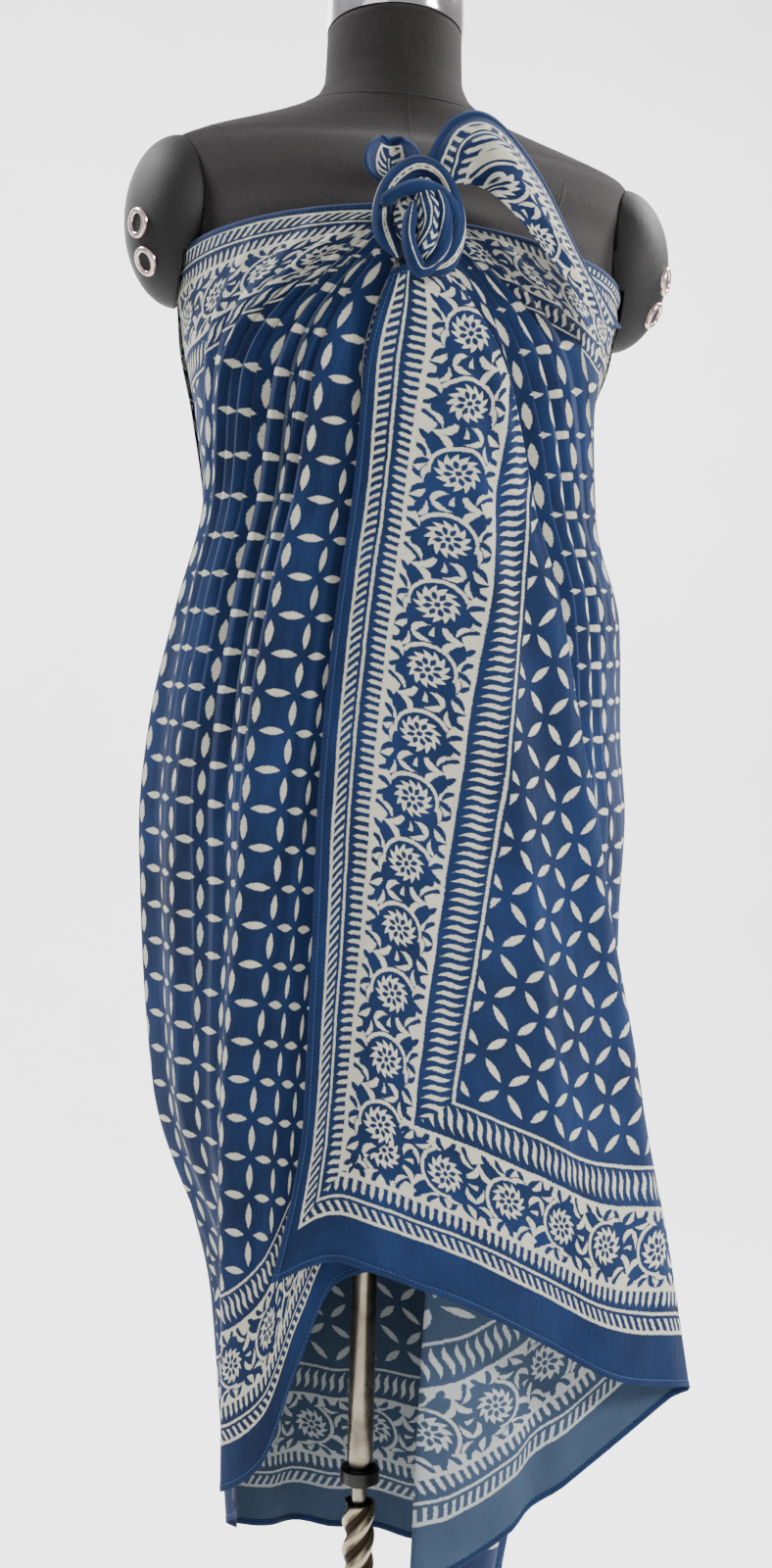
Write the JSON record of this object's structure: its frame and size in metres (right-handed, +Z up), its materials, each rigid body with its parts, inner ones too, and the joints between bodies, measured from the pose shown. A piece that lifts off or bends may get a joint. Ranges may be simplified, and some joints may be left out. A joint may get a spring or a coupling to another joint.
{
  "type": "sarong on dress form",
  "caption": "Printed cotton sarong wrapped and knotted at the chest of a limbless dress form with capped arms, on a pole stand with a twisted column and a round base.",
  "frame": {"origin": "on the floor, at the middle of the round base's underside", "axes": "+Z up along the pole; the form faces -Y, and +X is to the viewer's right when facing it"},
  "size_m": [0.4396, 0.3869, 1.58],
  "materials": {
    "printed_cotton": "matt plain-weave cotton, indigo with an off-white hand-block print",
    "form_knit": "matt charcoal knit cover",
    "cap_vinyl": "near-black vinyl with a soft sheen",
    "eyelet_metal": "polished",
    "neck_chrome": "polished",
    "tube_chrome": "polished, a little worn",
    "collar_black": "dark, satin",
    "rod_steel": "satin",
    "column_brass": "polished, aged, dark in the grooves",
    "base_iron": "black, satin"
  },
  "bodies": {
    "stand": {"base_round": "base_iron", "column_twisted": "column_brass", "pole_rod": "rod_steel"},
    "form": {"form_torso": "form_knit", "arm_cap_left": "cap_vinyl", "arm_cap_right": "cap_vinyl", "eyelet_left_1": "eyelet_metal", "eyelet_left_2": "eyelet_metal", "eyelet_right_1": "eyelet_metal", "eyelet_right_2": "eyelet_metal", "neck_cap": "neck_chrome", "pole_tube": "tube_chrome", "pole_collar": "collar_black", "sarong_over_panel": "printed_cotton", "sarong_inner_fold": "printed_cotton", "sarong_right_side": "printed_cotton", "sarong_back": "printed_cotton", "sarong_left_side": "printed_cotton", "sarong_under_panel": "printed_cotton", "knot_core": "printed_cotton", "knot_wrap": "printed_cotton", "knot_end": "printed_cotton", "tail_left": "printed_cotton", "tail_right": "printed_cotton"}
  },
  "joints": [
    {"name": "stand_height", "type": "slide", "parent": "stand", "child": "form", "axis": [0, 0, 1], "range_m": [-0.01, 0.18]}
  ]
}
